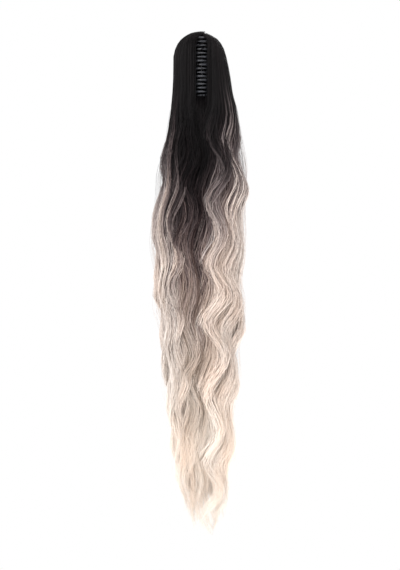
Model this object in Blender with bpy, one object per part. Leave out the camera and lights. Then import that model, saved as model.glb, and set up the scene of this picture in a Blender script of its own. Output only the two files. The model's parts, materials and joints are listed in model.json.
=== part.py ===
"""Ponytail hairpiece on a spring claw clip.

Two comb jaws turn on one upright hinge pin and close on gathered hair at the head side (-Y).
Each jaw carries a crown of hair, and a wavy fall of hair hangs below the clip.
The origin is the middle of the space that the jaws grip, +Z points up, +X to the right jaw.
"""

import math

import bmesh
import bpy
from mathutils import Vector

MM = 0.001

# Clearances
TOUCH_GAP = 0.3 * MM
PARTING_GAP = 0.4 * MM

# Comb jaws: each wall follows half an oval round the gripped space
TEETH_PER_JAW = 8
TOOTH_PITCH = 10.0 * MM
TOOTH_WIDTH = 4.0 * MM
TOOTH_TIP_WIDTH = 2.4 * MM
TOOTH_THICKNESS = 2.6 * MM
TOOTH_TIP_THICKNESS = 1.5 * MM
TOOTH_OVERLAP = 6.0 * MM
JAW_HALF_WIDTH = 17.5 * MM
JAW_HALF_DEPTH = 19.5 * MM
JAW_WALL = 2.2 * MM
JAW_END_MARGIN = 1.6 * MM
JAW_END_TAPER = 0.25
WALL_START_DEG = 20.0
WALL_END_DEG = 122.0

# Hinge, spring and finger levers
PIN_RADIUS = 1.2 * MM
PIN_HEAD_RADIUS = 2.2 * MM
PIN_HEAD_LENGTH = 1.2 * MM
KNUCKLE_RADIUS = 3.3 * MM
KNUCKLE_LENGTH = 5.0 * MM
SPRING_SPACE = 15.0 * MM
SPRING_WIRE = 0.9 * MM
SPRING_TURNS = 8
SPRING_LEG = 6.5 * MM
LEVER_REACH = 14.0 * MM
LEVER_LENGTH = 34.0 * MM
LEVER_THICKNESS = 2.2 * MM
LEVER_ROOT_DEPTH = 1.0 * MM
EAR_INSET = 0.02 * MM
EAR_HALF_DEPTH = 2.05 * MM
LEVER_LEAN_DEG = 25.0
OPENING_DEG = 40.0

# Crown of hair round the clip
CROWN_LEFT = 41.0 * MM
CROWN_RIGHT = 45.0 * MM
CROWN_FRONT = 23.0 * MM
CROWN_BACK = 46.0 * MM
CROWN_OVER_JAW = 6.5 * MM
CROWN_UNDER_JAW = 7.5 * MM
COMB_SLOT_HALF = 11.5 * MM
SLOT_DROP = 1.5 * MM
HAIR_CENTRE_BACK = 8.0 * MM
RIGHT_CROWN_DROP = 1.6 * MM

# Fall of hair below the clip
FALL_LENGTH = 564.0 * MM
FALL_HALF_WIDTH = 62.0 * MM
FALL_HALF_DEPTH = 40.0 * MM
WAVE_LENGTH = 86.0 * MM
WAVE_REACH = 5.0 * MM
GROOVE_DEPTH = 3.6 * MM
LOCK_THICKNESS = 9.0 * MM
LOCK_WAVE_REACH = 7.0 * MM
LOCK_PROUD = 3.2 * MM

# Shares of the crown's height, of CROWN_LEFT and CROWN_RIGHT, and of CROWN_FRONT and CROWN_BACK
CROWN_SECTIONS = [
    {"up": 0.00, "left": 1.00, "right": 1.00, "front": 1.00, "back": 0.96},
    {"up": 0.14, "left": 0.97, "right": 0.93, "front": 1.00, "back": 0.98},
    {"up": 0.33, "left": 0.93, "right": 0.85, "front": 1.00, "back": 1.00},
    {"up": 0.52, "left": 0.91, "right": 0.78, "front": 1.00, "back": 0.99},
    {"up": 0.70, "left": 0.90, "right": 0.68, "front": 0.98, "back": 0.94},
    {"up": 0.82, "left": 0.82, "right": 0.58, "front": 0.94, "back": 0.85},
    {"up": 0.90, "left": 0.70, "right": 0.47, "front": 0.88, "back": 0.72},
    {"up": 0.96, "left": 0.47, "right": 0.29, "front": 0.70, "back": 0.50},
    {"up": 1.00, "left": 0.20, "right": 0.10, "front": 0.34, "back": 0.26},
]

# Shares of FALL_LENGTH, FALL_HALF_WIDTH and FALL_HALF_DEPTH. shift places the parting, in half widths
FALL_SECTIONS = [
    {"down": 0.04, "left": 0.72, "right": 0.77, "front": 0.66, "back": 1.10, "shift": 0.01},
    {"down": 0.09, "left": 0.81, "right": 0.80, "front": 0.76, "back": 1.10, "shift": 0.03},
    {"down": 0.15, "left": 0.91, "right": 0.88, "front": 0.86, "back": 1.08, "shift": 0.05},
    {"down": 0.22, "left": 0.97, "right": 0.90, "front": 0.92, "back": 1.04, "shift": 0.02},
    {"down": 0.29, "left": 1.03, "right": 0.86, "front": 0.94, "back": 1.00, "shift": -0.04},
    {"down": 0.36, "left": 0.98, "right": 0.84, "front": 0.90, "back": 0.96, "shift": -0.05},
    {"down": 0.44, "left": 0.94, "right": 0.83, "front": 0.86, "back": 0.90, "shift": 0.00},
    {"down": 0.52, "left": 0.88, "right": 0.80, "front": 0.80, "back": 0.84, "shift": 0.04},
    {"down": 0.60, "left": 0.80, "right": 0.73, "front": 0.74, "back": 0.78, "shift": 0.03},
    {"down": 0.68, "left": 0.75, "right": 0.71, "front": 0.66, "back": 0.70, "shift": -0.02},
    {"down": 0.76, "left": 0.65, "right": 0.68, "front": 0.58, "back": 0.64, "shift": -0.04},
    {"down": 0.83, "left": 0.56, "right": 0.62, "front": 0.50, "back": 0.56, "shift": 0.01},
    {"down": 0.88, "left": 0.49, "right": 0.57, "front": 0.42, "back": 0.48, "shift": 0.04},
    {"down": 0.93, "left": 0.36, "right": 0.44, "front": 0.31, "back": 0.36, "shift": 0.06},
    {"down": 1.00, "left": 0.16, "right": 0.22, "front": 0.16, "back": 0.20, "shift": 0.06},
]

# side: 1 right, -1 left. bearing: degrees from the head side round to the back
# start, end: shares of FALL_LENGTH. width: share of FALL_HALF_WIDTH. phase: share of a wave
LOCKS = [
    {"side": 1, "bearing": 22, "start": 0.06, "end": 1.00, "width": 0.22, "phase": 0.10},
    {"side": 1, "bearing": 58, "start": 0.12, "end": 0.96, "width": 0.24, "phase": 0.45},
    {"side": 1, "bearing": 94, "start": 0.02, "end": 0.92, "width": 0.22, "phase": 0.85},
    {"side": 1, "bearing": 128, "start": 0.08, "end": 0.95, "width": 0.24, "phase": 0.20},
    {"side": 1, "bearing": 162, "start": 0.14, "end": 0.98, "width": 0.22, "phase": 0.60},
    {"side": -1, "bearing": 20, "start": 0.12, "end": 0.96, "width": 0.21, "phase": 0.70},
    {"side": -1, "bearing": 54, "start": 0.04, "end": 0.93, "width": 0.24, "phase": 0.15},
    {"side": -1, "bearing": 90, "start": 0.10, "end": 0.90, "width": 0.23, "phase": 0.50},
    {"side": -1, "bearing": 126, "start": 0.03, "end": 0.94, "width": 0.23, "phase": 0.95},
    {"side": -1, "bearing": 160, "start": 0.09, "end": 0.99, "width": 0.22, "phase": 0.30},
]

# Shares of FALL_LENGTH at which waves and grooves are full, the mass starts to thin and ends
FULL_WAVE = 0.12
MASS_THIN_START = 0.74
MASS_END = 0.92
MASS_THINNING = 0.5
WAVE_LEAN = 2.2
GROOVES_PER_SIDE = 4
POINTS_PER_GROOVE = 3
MASS_LEVELS_PER_WAVE = 4
LOCK_LEVELS_PER_WAVE = 4
LOCK_SIDES = 6
TOOTH_SECTIONS = 5
ROUND_SIDES = 14
SPRING_SIDES = 9
WALL_STEPS = 9
JAW_LEVELS = 6
CUTTER_SPARE = 5.0 * MM

# Worked out from the driving sizes
JAW_HALF_LENGTH = (2 * TEETH_PER_JAW - 1) * TOOTH_PITCH / 4 + TOOTH_WIDTH / 2 + JAW_END_MARGIN
HINGE_Y = JAW_HALF_DEPTH * math.cos(math.radians(WALL_START_DEG))
CROWN_BOTTOM = -(JAW_HALF_LENGTH + CROWN_UNDER_JAW)
CROWN_TOP = JAW_HALF_LENGTH + CROWN_OVER_JAW
FALL_TOP = CROWN_BOTTOM - TOUCH_GAP
INNER_KNUCKLE = SPRING_SPACE / 2 + TOUCH_GAP
OUTER_KNUCKLE = INNER_KNUCKLE + KNUCKLE_LENGTH + TOUCH_GAP
HINGE_END = OUTER_KNUCKLE + KNUCKLE_LENGTH

COLOURS = {
    "clip_plastic": {"colour": (0.012, 0.012, 0.014), "roughness": 0.28, "metallic": 0.0},
    "steel": {"colour": (0.55, 0.55, 0.56), "roughness": 0.30, "metallic": 1.0},
    "hair_dark": {"colour": (0.014, 0.011, 0.011), "roughness": 0.45, "metallic": 0.0},
    "hair_ash": {"colour": (0.50, 0.42, 0.37), "roughness": 0.45, "metallic": 0.0},
}


# Helpers


def material(name):
    """One Principled material for each entry of COLOURS."""
    made = bpy.data.materials.get(name)
    if made is None:
        made = bpy.data.materials.new(name)
        made.use_nodes = True
        shader = made.node_tree.nodes["Principled BSDF"]
        look = COLOURS[name]
        shader.inputs["Base Color"].default_value = (*look["colour"], 1.0)
        shader.inputs["Roughness"].default_value = look["roughness"]
        shader.inputs["Metallic"].default_value = look["metallic"]
    return made


def add_object(name, bm, look=None, cutter=False):
    """Turns a bmesh into an object. A cutter is a guide for a Boolean and isn't a piece."""
    bmesh.ops.recalc_face_normals(bm, faces=bm.faces)
    mesh = bpy.data.meshes.new(name)
    bm.to_mesh(mesh)
    bm.free()
    obj = bpy.data.objects.new(name, mesh)
    bpy.context.scene.collection.objects.link(obj)
    if look:
        mesh.materials.append(material(look))
        mesh.shade_smooth()
        mesh.set_sharp_from_angle(angle=math.radians(35))
    if cutter:
        obj.hide_render = True
        obj.display_type = "WIRE"
    return obj


def boolean(obj, other, operation):
    """Joins, cuts or trims obj with a cutter object by an exact Boolean."""
    modifier = obj.modifiers.new(f"{operation.lower()}_{other.name}", "BOOLEAN")
    modifier.operation = operation
    modifier.solver = "EXACT"
    modifier.object = other


def loft(bm, rings, flat_faces=False):
    """Skins closed rings of equally many points and caps both ends.

    flat_faces splits the skin into triangles, so that a Boolean of waving skins meets no skewed face.
    """
    rows = [[bm.verts.new(point) for point in ring] for ring in rings]
    count = len(rows[0])
    for low, high in zip(rows, rows[1:]):
        for i in range(count):
            j = (i + 1) % count
            bm.faces.new((low[i], low[j], high[j], high[i]))
    bm.faces.new(rows[0])
    bm.faces.new(rows[-1])
    if flat_faces:
        bmesh.ops.triangulate(bm, faces=bm.faces)


def prism(bm, outline, low, high):
    """An upright prism over an outline of (x, y) points."""
    loft(bm, [[Vector((x, y, z)) for x, y in outline] for z in (low, high)])


def add_cylinder(bm, centre, radius, low, high):
    """An upright round bar or bore of ROUND_SIDES sides."""
    turn = 2 * math.pi / ROUND_SIDES
    outline = [
        (centre[0] + radius * math.cos(i * turn), centre[1] + radius * math.sin(i * turn))
        for i in range(ROUND_SIDES)
    ]
    prism(bm, outline, low, high)


def smooth_share(t):
    """Eases a share from 0 to 1."""
    t = min(max(t, 0.0), 1.0)
    return t * t * (3 - 2 * t)


def table_at(rows, key, place, column):
    """Reads one column of a section table at a place between its rows, along a smooth curve."""
    if place <= rows[0][key]:
        return rows[0][column]
    for i in range(len(rows) - 1):
        low, high = rows[i], rows[i + 1]
        if place > high[key]:
            continue
        before, after = rows[max(i - 1, 0)], rows[min(i + 2, len(rows) - 1)]
        width = high[key] - low[key]
        t = (place - low[key]) / width
        rise_low = (high[column] - before[column]) / (high[key] - before[key]) * width
        rise_high = (after[column] - low[column]) / (after[key] - low[key]) * width
        start, end = low[column], high[column]
        t2, t3 = t * t, t * t * t
        value = (2 * t3 - 3 * t2 + 1) * start + (t3 - 2 * t2 + t) * rise_low
        return value + (3 * t2 - 2 * t3) * end + (t3 - t2) * rise_high
    return rows[-1][column]


# Clip


def jaw_narrowing(z):
    """The jaws draw in towards both ends, as a share of their half width, straight between levels."""
    place = min(abs(z) / JAW_HALF_LENGTH, 1.0) * JAW_LEVELS / 2
    low = min(math.floor(place), JAW_LEVELS // 2 - 1)
    shares = [1 - JAW_END_TAPER * (2 * level / JAW_LEVELS) ** 3 for level in (low, low + 1)]
    return shares[0] + (shares[1] - shares[0]) * (place - low)


def jaw_point(side, degrees, z, offset=0.0):
    """A point on the oval that the jaw's wall follows, moved outwards by offset."""
    a = math.radians(degrees)
    narrow = jaw_narrowing(z)
    x = JAW_HALF_WIDTH * narrow * math.sin(a)
    y = JAW_HALF_DEPTH * math.cos(a)
    normal = Vector((math.sin(a) / (JAW_HALF_WIDTH * narrow), math.cos(a) / JAW_HALF_DEPTH))
    normal.normalize()
    return Vector((side * (x + normal.x * offset), y + normal.y * offset, z))


def tooth_tip_degrees(z):
    """Where along the oval a tooth has crossed the middle by TOOTH_OVERLAP."""
    return 180 + math.degrees(math.asin(TOOTH_OVERLAP / (JAW_HALF_WIDTH * jaw_narrowing(z))))


def jaw_levels():
    """Heights at which the wall, and the hair that clears it, have a section."""
    return [JAW_HALF_LENGTH * (2 * level / JAW_LEVELS - 1) for level in range(JAW_LEVELS + 1)]


def jaw_wall(side):
    """The jaw's curved plate, thin and drawn in at both ends."""
    bm = bmesh.new()
    steps = [
        WALL_START_DEG + (WALL_END_DEG - WALL_START_DEG) * i / WALL_STEPS
        for i in range(WALL_STEPS + 1)
    ]
    rings = []
    for z in jaw_levels():
        outer = [jaw_point(side, a, z, JAW_WALL / 2) for a in steps]
        inner = [jaw_point(side, a, z, -JAW_WALL / 2) for a in reversed(steps)]
        rings.append(outer + inner)
    loft(bm, rings)
    return bm


def jaw_teeth(side):
    """One row of curved teeth. The right jaw's teeth stand half a pitch below the left's."""
    bm = bmesh.new()
    for index in range(TEETH_PER_JAW):
        z = (index - (TEETH_PER_JAW - 1) / 2) * TOOTH_PITCH - side * TOOTH_PITCH / 4
        start = WALL_END_DEG - 12
        end = tooth_tip_degrees(z)
        rings = []
        for step in range(TOOTH_SECTIONS + 1):
            t = step / TOOTH_SECTIONS
            rounding = 1.0 if step < TOOTH_SECTIONS else 0.55
            width = rounding * (TOOTH_WIDTH + (TOOTH_TIP_WIDTH - TOOTH_WIDTH) * t)
            thick = rounding * (TOOTH_THICKNESS + (TOOTH_TIP_THICKNESS - TOOTH_THICKNESS) * t)
            degrees = start + (end - start) * t
            ring = []
            for corner in range(6):
                a = math.radians(60 * corner)
                point = jaw_point(side, degrees, z, thick / 2 * math.sin(a) / 0.866)
                ring.append(point + Vector((0, 0, width / 2 * math.cos(a))))
            rings.append(ring)
        loft(bm, rings)
    return bm


def knuckle_spans(side):
    """The inner pair of knuckles is the right jaw's and the outer pair the left jaw's."""
    near = INNER_KNUCKLE if side > 0 else OUTER_KNUCKLE
    return [(near, near + KNUCKLE_LENGTH), (-near - KNUCKLE_LENGTH, -near)]


def jaw_ears(side):
    """Flat ears from the wall's hinge edge to the middle of each knuckle."""
    bm = bmesh.new()
    reach = abs(jaw_point(side, WALL_START_DEG + 6, 0).x)
    half = EAR_HALF_DEPTH
    for low, high in knuckle_spans(side):
        outline = [(0, -half), (reach, -half), (reach, half), (0, half)]
        prism(bm, [(side * x, HINGE_Y + y) for x, y in outline], low + EAR_INSET, high - EAR_INSET)
    return bm


def jaw_knuckles(side):
    bm = bmesh.new()
    for low, high in knuckle_spans(side):
        add_cylinder(bm, (0, HINGE_Y), KNUCKLE_RADIUS, low, high)
    return bm


def pin_bore():
    bm = bmesh.new()
    reach = HINGE_END + CUTTER_SPARE
    add_cylinder(bm, (0, HINGE_Y), PIN_RADIUS + TOUCH_GAP, -reach, reach)
    return bm


def lever_frame(side):
    """Where the lever leaves the wall, the way it points and the way its face looks."""
    root = jaw_point(side, WALL_START_DEG + 2, 0)
    lean = math.radians(LEVER_LEAN_DEG)
    along = Vector((side * math.sin(lean), math.cos(lean), 0))
    face = Vector((along.y, -along.x, 0))
    return root, along, face


def jaw_lever(side):
    """A finger tab with rounded outer corners, as wide as LEVER_LENGTH along the hinge."""
    bm = bmesh.new()
    root, along, face = lever_frame(side)
    half = LEVER_LENGTH / 2
    corner = LEVER_REACH * 0.45
    outline = [(-LEVER_ROOT_DEPTH, -half), (LEVER_REACH - corner, -half)]
    for i in range(1, 4):
        a = math.radians(30 * i - 90)
        u = LEVER_REACH - corner + corner * math.cos(a)
        outline.append((u, corner - half + corner * math.sin(a)))
    outline += [(u, -w) for u, w in reversed(outline)]
    rings = []
    for offset in (-LEVER_THICKNESS / 2, LEVER_THICKNESS / 2):
        rings.append([root + along * u + face * offset + Vector((0, 0, w)) for u, w in outline])
    loft(bm, rings)
    return bm


def make_jaw(name, side):
    """Wall, teeth, ears, knuckles and lever as one moulded solid, bored for the pin."""
    jaw = add_object(name, jaw_wall(side), "clip_plastic")
    parts = {"teeth": jaw_teeth, "ears": jaw_ears, "lever": jaw_lever, "knuckles": jaw_knuckles}
    for part, build in parts.items():
        boolean(jaw, add_object(f"{name}_{part}", build(side), cutter=True), "UNION")
    boolean(jaw, add_object(f"{name}_bore", pin_bore(), cutter=True), "DIFFERENCE")
    return jaw


def make_hinge_pin():
    """A headed pin through all four knuckles."""
    bm = bmesh.new()
    turn = 2 * math.pi / ROUND_SIDES
    end = HINGE_END + TOUCH_GAP
    profile = [
        (-end - PIN_HEAD_LENGTH, PIN_HEAD_RADIUS * 0.7),
        (-end - PIN_HEAD_LENGTH / 2, PIN_HEAD_RADIUS),
        (-end, PIN_HEAD_RADIUS),
        (-end, PIN_RADIUS),
        (end, PIN_RADIUS),
        (end, PIN_HEAD_RADIUS),
        (end + PIN_HEAD_LENGTH / 2, PIN_HEAD_RADIUS),
        (end + PIN_HEAD_LENGTH, PIN_HEAD_RADIUS * 0.7),
    ]
    rings = []
    for z, r in profile:
        angles = [i * turn for i in range(ROUND_SIDES)]
        rings.append([Vector((r * math.cos(a), HINGE_Y + r * math.sin(a), z)) for a in angles])
    loft(bm, rings)
    return add_object("hinge_pin", bm, "steel")


def spring_leg_spread(radius):
    """The angle from +Y at which a leg of SPRING_LEG just reaches its lever's inner face."""
    lean = math.radians(LEVER_LEAN_DEG)
    root, along, face = lever_frame(1)
    lever = face.dot(root - Vector((0, HINGE_Y, 0))) - LEVER_THICKNESS / 2
    away = lever - TOUCH_GAP - SPRING_WIRE / 2
    return lean + math.asin(away / math.hypot(radius, SPRING_LEG)) - math.atan2(radius, SPRING_LEG)


def make_spring():
    """A torsion spring: close turns round the pin and a straight leg out to each lever."""
    radius = PIN_RADIUS + TOUCH_GAP + SPRING_WIRE / 2
    spread = spring_leg_spread(radius)
    first = math.pi + spread
    last = 2 * math.pi * SPRING_TURNS - spread
    count = SPRING_SIDES * SPRING_TURNS
    half = SPRING_SPACE / 2 - SPRING_WIRE
    points = []
    for i in range(count + 1):
        a = first + (last - first) * i / count
        turn = Vector((math.cos(a), math.sin(a), 0))
        points.append(Vector((0, HINGE_Y, half * (2 * i / count - 1))) + turn * radius)
    for end, way in ((0, -1), (len(points), 1)):
        leg = Vector((way * math.sin(spread), math.cos(spread), 0)) * SPRING_LEG
        points.insert(end, points[min(end, count)] + leg)
    curve = bpy.data.curves.new("spring", "CURVE")
    curve.dimensions = "3D"
    curve.bevel_depth = SPRING_WIRE / 2
    curve.bevel_resolution = 0
    curve.use_fill_caps = True
    spline = curve.splines.new("POLY")
    spline.points.add(len(points) - 1)
    for place, point in zip(spline.points, points):
        place.co = (*point, 1.0)
    curve.materials.append(material("steel"))
    obj = bpy.data.objects.new("spring", curve)
    bpy.context.scene.collection.objects.link(obj)
    return obj


# Hair


def groove_at(index):
    """0 on a lock's crest and 1 in the groove beside it, for each point round one side."""
    return 0.5 + 0.5 * math.cos(2 * math.pi * index / POINTS_PER_GROOVE)


def half_outline(side, size, parting, drop, wave_share, groove):
    """One side's closed outline at one height, from the head side round to the back.

    size holds the reach to the side, front and back. drop is the distance below the fall's top.
    """
    points = []
    count = GROOVES_PER_SIDE * POINTS_PER_GROOVE
    inner = parting + side * PARTING_GAP / 2
    across = side * size["side"] - inner
    for i in range(count + 1):
        edge = math.sin(math.pi * i / count)
        bearing = math.pi * i / count
        swing = math.sin(2 * math.pi * drop / WAVE_LENGTH + WAVE_LEAN * bearing)
        bearing += swing * wave_share * WAVE_REACH / max(size["side"], WAVE_REACH) * edge
        reach = size["front"] if bearing < math.pi / 2 else size["back"]
        depth = groove * groove_at(i) * edge
        swell = wave_share * WAVE_REACH * 0.4 * edge
        depth += swell * math.cos(2 * math.pi * drop / WAVE_LENGTH + WAVE_LEAN * bearing)
        span = max(abs(across), reach, 1e-6)
        scale = 1 - depth / span
        x = inner + across * math.sin(bearing) * scale
        y = HAIR_CENTRE_BACK * size["centre"] - reach * math.cos(bearing) * scale
        points.append((x, y))
    return points


def crown_size(side, up):
    """Reach of the crown to the side, front and back, at a share of its height."""
    wide = CROWN_RIGHT if side > 0 else CROWN_LEFT
    column = "right" if side > 0 else "left"
    front = CROWN_FRONT * table_at(CROWN_SECTIONS, "up", up, "front")
    back = CROWN_BACK * table_at(CROWN_SECTIONS, "up", up, "back")
    return {
        "side": wide * table_at(CROWN_SECTIONS, "up", up, column),
        "front": front + HAIR_CENTRE_BACK,
        "back": back - HAIR_CENTRE_BACK,
        "centre": 1.0,
    }


def cavity(z_top):
    """The space that both jaws and their levers take up, with the slot where the teeth show."""
    bm = bmesh.new()
    offset = max(JAW_WALL, TOOTH_THICKNESS) / 2 + TOUCH_GAP
    heights = [CROWN_BOTTOM - CUTTER_SPARE, *jaw_levels(), z_top]
    loft(bm, [[jaw_point(1, 360 * i / 36, z, offset) for i in range(36)] for z in heights])
    return bm


def comb_slot(z_top):
    bm = bmesh.new()
    far = CROWN_FRONT + CUTTER_SPARE
    half = COMB_SLOT_HALF
    outline = [(-half, -far), (half, -far), (half, 0), (-half, 0)]
    prism(bm, outline, CROWN_BOTTOM - CUTTER_SPARE, z_top - SLOT_DROP)
    return bm


def lever_room():
    """The round space that the levers sweep as the clip opens."""
    bm = bmesh.new()
    root, along, face = lever_frame(1)
    tip = root + along * LEVER_REACH + face * LEVER_THICKNESS / 2
    radius = math.hypot(tip.x, tip.y - HINGE_Y) + 2 * TOUCH_GAP
    half = max(LEVER_LENGTH / 2, HINGE_END + PIN_HEAD_LENGTH) + 2 * TOUCH_GAP
    add_cylinder(bm, (0, HINGE_Y), radius / math.cos(math.pi / ROUND_SIDES), -half, half)
    return bm


def finger_parting():
    """The wedge behind the hinge that fingers reach through, closed as the clip opens."""
    bm = bmesh.new()
    far = CROWN_BACK * 2
    half = math.radians(OPENING_DEG / 2 + 1.5)
    apex = HINGE_Y - PARTING_GAP
    outline = [(0, apex), (far * math.sin(half), apex + far * math.cos(half))]
    outline.append((-far * math.sin(half), apex + far * math.cos(half)))
    prism(bm, outline, CROWN_BOTTOM - CUTTER_SPARE, CROWN_TOP + CUTTER_SPARE)
    return bm


def make_crown(name, side):
    """The hair that wraps one jaw and closes over its top end."""
    bm = bmesh.new()
    top = CROWN_TOP - (RIGHT_CROWN_DROP if side > 0 else 0)
    rings = []
    for row in CROWN_SECTIONS:
        z = CROWN_BOTTOM + (top - CROWN_BOTTOM) * row["up"]
        groove = GROOVE_DEPTH * 0.45 * (1 - smooth_share(row["up"] * 1.1))
        outline = half_outline(side, crown_size(side, row["up"]), 0, 0, 0, groove)
        rings.append([Vector((x, y, z)) for x, y in outline])
    loft(bm, rings)
    crown = add_object(name, bm, "hair_dark")
    inner_top = JAW_HALF_LENGTH + TOUCH_GAP
    cuts = {
        "slot": comb_slot(inner_top),
        "cavity": cavity(inner_top),
        "parting": finger_parting(),
        "levers": lever_room(),
    }
    for part, shape in cuts.items():
        boolean(crown, add_object(f"{name}_{part}", shape, cutter=True), "DIFFERENCE")
    return crown


def fall_size(side, down):
    """Reach of the fall to the side, front and back: the crown's foot, then the section table."""
    column = "right" if side > 0 else "left"
    foot = crown_size(side, 0)
    first = FALL_SECTIONS[0]["down"]
    place = max(down, first)
    fall = {
        "side": FALL_HALF_WIDTH * table_at(FALL_SECTIONS, "down", place, column),
        "front": FALL_HALF_DEPTH * table_at(FALL_SECTIONS, "down", place, "front"),
        "back": FALL_HALF_DEPTH * table_at(FALL_SECTIONS, "down", place, "back"),
    }
    centre = 1 - smooth_share((down - 0.3) / 0.7)
    fall["front"] += HAIR_CENTRE_BACK * centre
    fall["back"] -= HAIR_CENTRE_BACK * centre
    blend = smooth_share(down / (2 * first))
    size = {key: foot[key] + (fall[key] - foot[key]) * blend for key in fall}
    size["centre"] = centre
    return size


def parting_at(down):
    """How far to the right the parting between both sides lies."""
    shift = table_at(FALL_SECTIONS, "down", down, "shift") * smooth_share(down / 0.08)
    return FALL_HALF_WIDTH * shift


def fall_body(side):
    """The grooved, waving mass of one side, which thins out among the ends of its locks."""
    bm = bmesh.new()
    count = round(MASS_END * FALL_LENGTH / WAVE_LENGTH * MASS_LEVELS_PER_WAVE)
    rings = []
    for level in range(count + 1):
        down = MASS_END * level / count
        drop = down * FALL_LENGTH
        growth = smooth_share(down / FULL_WAVE)
        thin = smooth_share((down - MASS_THIN_START) / (MASS_END - MASS_THIN_START))
        size = fall_size(side, down)
        for way in ("side", "front", "back"):
            size[way] = (size[way] - LOCK_PROUD * growth) * (1 - MASS_THINNING * thin)
        groove = GROOVE_DEPTH * (0.45 + 0.55 * growth) * (1 - MASS_THINNING * thin)
        outline = half_outline(side, size, parting_at(down), drop, growth, groove)
        rings.append([Vector((x, y, FALL_TOP - drop)) for x, y in outline])
    loft(bm, rings, flat_faces=True)
    return bm


def lock_centre(lock, down):
    """The middle line of one lock, sunk in the mass by most of its thickness and swinging."""
    side = lock["side"]
    size = fall_size(side, down)
    parting = parting_at(down)
    drop = down * FALL_LENGTH
    wave = 2 * math.pi * (drop / WAVE_LENGTH + lock["phase"])
    grown = smooth_share((down - lock["start"]) / 0.15)
    bearing = math.radians(lock["bearing"])
    reach = size["front"] if bearing < math.pi / 2 else size["back"]
    inset = min(LOCK_THICKNESS, size["side"]) / 2 + LOCK_PROUD * (1 - grown)
    x = parting + side * (size["side"] - inset) * math.sin(bearing)
    y = HAIR_CENTRE_BACK * size["centre"] - (reach - inset) * math.cos(bearing)
    outward = Vector((side * math.sin(bearing), -math.cos(bearing), 0))
    round_way = Vector((side * math.cos(bearing), math.sin(bearing), 0))
    swing = LOCK_WAVE_REACH * grown * (1 - 0.5 * smooth_share((down - 0.8) / 0.2))
    point = Vector((x, y, FALL_TOP - drop))
    point += round_way * swing * math.sin(wave) + outward * 0.35 * swing * math.cos(wave)
    inner = parting + side * (PARTING_GAP + lock_half_width(lock, down))
    if side * (point.x - inner) < 0:
        point.x = inner
    return point, round_way, outward


def lock_half_width(lock, down):
    """A lock swells from its start and thins to a tip at its end."""
    share = (down - lock["start"]) / (lock["end"] - lock["start"])
    swell = smooth_share(share / 0.18) * (1 - smooth_share((share - 0.76) / 0.28))
    return FALL_HALF_WIDTH * lock["width"] / 2 * max(swell, 0.12)


def lock_body(lock):
    bm = bmesh.new()
    span = lock["end"] - lock["start"]
    count = round(span * FALL_LENGTH / WAVE_LENGTH * LOCK_LEVELS_PER_WAVE)
    rings = []
    for level in range(count + 1):
        down = lock["start"] + span * level / count
        centre, round_way, outward = lock_centre(lock, down)
        half = lock_half_width(lock, down)
        thick = min(LOCK_THICKNESS / 2, half * 0.85)
        ring = []
        for i in range(LOCK_SIDES):
            a = 2 * math.pi * i / LOCK_SIDES
            ring.append(centre + round_way * half * math.cos(a) + outward * thick * math.sin(a))
        rings.append(ring)
    loft(bm, rings, flat_faces=True)
    return bm


def make_fall(name, side):
    """One side's mass of hair with its own locks fused to it."""
    fall = add_object(name, fall_body(side), "hair_ash")
    for index, lock in enumerate(row for row in LOCKS if row["side"] == side):
        boolean(fall, add_object(f"{name}_lock_{index}", lock_body(lock), cutter=True), "UNION")
    return fall


# Whole object


def clear_scene():
    for obj in list(bpy.data.objects):
        bpy.data.objects.remove(obj)


def build():
    clear_scene()
    make_jaw("jaw_left", -1)
    make_jaw("jaw_right", 1)
    make_hinge_pin()
    make_spring()
    make_crown("crown_left", -1)
    make_crown("crown_right", 1)
    make_fall("fall_left", -1)
    make_fall("fall_right", 1)


build()
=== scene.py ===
import json
import math
from typing import NamedTuple

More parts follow.
